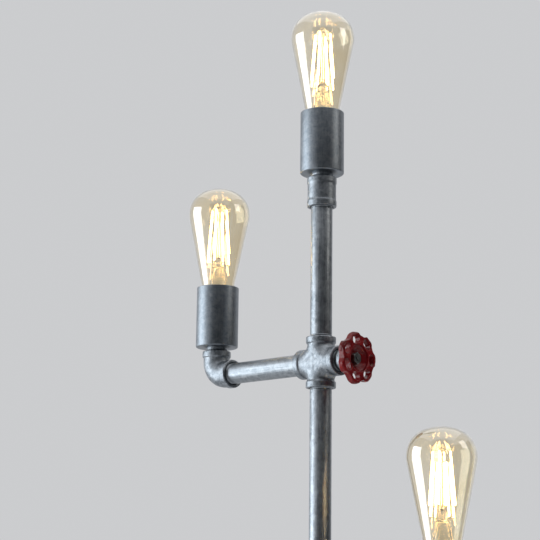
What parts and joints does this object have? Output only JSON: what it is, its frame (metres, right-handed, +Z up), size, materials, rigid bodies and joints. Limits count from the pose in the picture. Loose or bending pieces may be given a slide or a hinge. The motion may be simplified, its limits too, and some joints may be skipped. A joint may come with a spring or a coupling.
{
  "type": "floor lamp",
  "caption": "Industrial floor lamp of galvanised pipe and banded fittings with bare filament bulbs on a pole and side arms, and a red valve wheel as switch.",
  "frame": {"origin": "on the floor, at the centre of the pad under the base plate, on the pole's axis", "axes": "+Z up along the pole, +X towards the valve wheel and the lower arm, +Y to the back, where the cord bush is"},
  "size_m": [0.353, 0.28, 1.551],
  "materials": {
    "zinc_pipe": "galvanised, aged and mottled, satin",
    "zinc_casting": "galvanised casting, slightly grainy",
    "zinc_sheet": "antique zinc, satin",
    "base_steel": "zinc-grey satin",
    "plain_steel": "satin",
    "yellow_zinc": "yellow zinc plate",
    "red_paint": "gloss enamel on a casting",
    "porcelain": "glazed",
    "brass": "bright",
    "cap_metal": "nickel-washed brass",
    "cap_glass": "black glass with a solder button",
    "amber_glass": "clear amber glass",
    "stem_glass": "clear glass",
    "filament": "phosphor coat, lit",
    "switch_case": "moulded",
    "lead_sheath": "soft sheath",
    "bush_rubber": "moulded",
    "pad_foam": "closed-cell pad"
  },
  "bodies": {
    "stand": {"lower_pole": "zinc_pipe", "middle_pole": "zinc_pipe", "upper_pole": "zinc_pipe", "left_arm": "zinc_pipe", "right_arm": "zinc_pipe", "top_nipple": "zinc_pipe", "left_nipple": "zinc_pipe", "right_nipple": "zinc_pipe", "floor_flange": "zinc_casting", "tee": "zinc_casting", "cross": "zinc_casting", "coupling": "zinc_casting", "left_elbow": "zinc_casting", "right_elbow": "zinc_casting", "bonnet": "zinc_casting", "top_cover": "zinc_sheet", "left_cover": "zinc_sheet", "right_cover": "zinc_sheet", "base_plate": "base_steel", "flange_screws": "plain_steel", "lock_nuts": "yellow_zinc", "top_holder": "porcelain", "left_holder": "porcelain", "right_holder": "porcelain", "top_screw_shell": "brass", "left_screw_shell": "brass", "right_screw_shell": "brass", "top_contact": "brass", "left_contact": "brass", "right_contact": "brass", "rotary_switch": "switch_case", "top_lead": "lead_sheath", "left_lead": "lead_sheath", "right_lead": "lead_sheath", "cord_bush": "bush_rubber", "base_pad": "pad_foam"},
    "valve_wheel": {"handwheel": "red_paint", "wheel_nut": "plain_steel", "spindle": "plain_steel"},
    "top_bulb_foot": {"top_cap_tip": "cap_glass"},
    "top_bulb": {"top_glass": "amber_glass", "top_cap": "cap_metal", "top_stem": "stem_glass", "top_filaments": "filament", "top_support_wires": "plain_steel"},
    "left_bulb_foot": {"left_cap_tip": "cap_glass"},
    "left_bulb": {"left_glass": "amber_glass", "left_cap": "cap_metal", "left_stem": "stem_glass", "left_filaments": "filament", "left_support_wires": "plain_steel"},
    "right_bulb_foot": {"right_cap_tip": "cap_glass"},
    "right_bulb": {"right_glass": "amber_glass", "right_cap": "cap_metal", "right_stem": "stem_glass", "right_filaments": "filament", "right_support_wires": "plain_steel"}
  },
  "joints": [
    {"name": "valve_turn", "type": "hinge", "parent": "stand", "child": "valve_wheel", "pos_m": [0.0455, 0, 1.193], "axis": [1, 0, 0], "range_deg": [0, 270]},
    {"name": "top_bulb_lift", "type": "slide", "parent": "stand", "child": "top_bulb_foot", "axis": [0, 0, 1], "range_m": [0, 0.0145]},
    {"name": "top_bulb_turn", "type": "hinge", "parent": "top_bulb_foot", "child": "top_bulb", "pos_m": [0, 0, 1.382], "axis": [0, 0, 1], "range_deg": [0, 1440]},
    {"name": "left_bulb_lift", "type": "slide", "parent": "stand", "child": "left_bulb_foot", "axis": [0, 0, 1], "range_m": [0, 0.0145]},
    {"name": "left_bulb_turn", "type": "hinge", "parent": "left_bulb_foot", "child": "left_bulb", "pos_m": [-0.1445, 0, 1.222], "axis": [0, 0, 1], "range_deg": [0, 1440]},
    {"name": "right_bulb_lift", "type": "slide", "parent": "stand", "child": "right_bulb_foot", "axis": [0, 0, 1], "range_m": [0, 0.0145]},
    {"name": "right_bulb_turn", "type": "hinge", "parent": "right_bulb_foot", "child": "right_bulb", "pos_m": [0.1445, 0, 0.953], "axis": [0, 0, 1], "range_deg": [0, 1440]}
  ],
  "couplings": [
    {"joint": "top_bulb_lift", "follows": "top_bulb_turn", "m_per_rad": 0.00057296},
    {"joint": "left_bulb_lift", "follows": "left_bulb_turn", "m_per_rad": 0.00057296},
    {"joint": "right_bulb_lift", "follows": "right_bulb_turn", "m_per_rad": 0.00057296}
  ]
}
